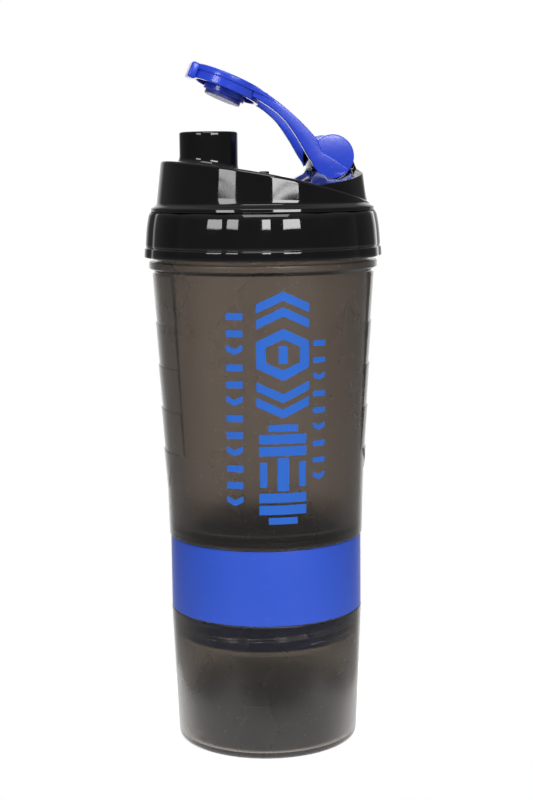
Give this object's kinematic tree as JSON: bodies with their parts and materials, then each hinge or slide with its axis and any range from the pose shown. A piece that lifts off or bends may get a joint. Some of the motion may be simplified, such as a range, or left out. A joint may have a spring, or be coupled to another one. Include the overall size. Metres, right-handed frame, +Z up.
{
  "type": "protein shaker bottle",
  "caption": "Stacked shaker bottle with a translucent cup, a screw-on storage ring and base jar, and a screw lid with a spout and a hinged flip cap held by two arms.",
  "frame": {"origin": "middle of the foot of the base jar, on the surface it stands on", "axes": "+Z up the bottle's axis, -X towards the drinking spout, +X towards the cap's hinge, +Y along the hinge"},
  "size_m": [0.0925, 0.0926, 0.2657],
  "materials": {
    "smoke_plastic": "translucent smoke, glossy",
    "tray_plastic": "translucent smoke, glossy",
    "ring_blue": "satin opaque blue",
    "cap_blue": "semi-gloss opaque blue",
    "lid_black": "high gloss black",
    "strainer_plastic": "satin black",
    "silicone": "pale translucent silicone",
    "print_blue": "printed ink"
  },
  "bodies": {
    "base_jar": {"base_jar": "smoke_plastic"},
    "pill_tray": {"pill_tray": "tray_plastic"},
    "ring_seal": {"ring_seal": "silicone"},
    "storage_ring": {"storage_ring": "ring_blue"},
    "cup_seal": {"cup_seal": "silicone"},
    "cup": {"cup": "smoke_plastic"},
    "strainer": {"strainer": "strainer_plastic"},
    "lid": {"lid": "lid_black", "lid_seal": "silicone"},
    "flip_cap": {"flip_cap": "cap_blue", "cap_seal": "silicone"}
  },
  "joints": [
    {"name": "tray_lift", "type": "slide", "parent": "base_jar", "child": "pill_tray", "axis": [0, 0, 1], "range_m": [0, 0.0336]},
    {"name": "ring_lift", "type": "slide", "parent": "base_jar", "child": "ring_seal", "axis": [0, 0, 1], "range_m": [0, 0.01201]},
    {"name": "ring_turn", "type": "hinge", "parent": "ring_seal", "child": "storage_ring", "pos_m": [0, 0, 0.0535], "axis": [0, 0, 1], "range_deg": [0, 540]},
    {"name": "cup_lift", "type": "slide", "parent": "storage_ring", "child": "cup_seal", "axis": [0, 0, 1], "range_m": [0, 0.01201]},
    {"name": "cup_turn", "type": "hinge", "parent": "cup_seal", "child": "cup", "pos_m": [0, 0, 0.0827], "axis": [0, 0, 1], "range_deg": [0, 540]},
    {"name": "lid_lift", "type": "slide", "parent": "cup", "child": "strainer", "axis": [0, 0, 1], "range_m": [0, 0.01801]},
    {"name": "lid_turn", "type": "hinge", "parent": "strainer", "child": "lid", "pos_m": [0, 0, 0.2072], "axis": [0, 0, 1], "range_deg": [0, 720]},
    {"name": "cap_hinge", "type": "hinge", "parent": "lid", "child": "flip_cap", "pos_m": [0.0257, 0, 0.2294], "axis": [0, 1, 0], "range_deg": [-23.3, 125]}
  ],
  "couplings": [
    {"joint": "ring_lift", "follows": "ring_turn", "m_per_rad": 0.0012732},
    {"joint": "tray_lift", "follows": "ring_turn", "m_per_rad": 0.0035545},
    {"joint": "cup_lift", "follows": "cup_turn", "m_per_rad": 0.0012732},
    {"joint": "lid_lift", "follows": "lid_turn", "m_per_rad": 0.0014324}
  ]
}
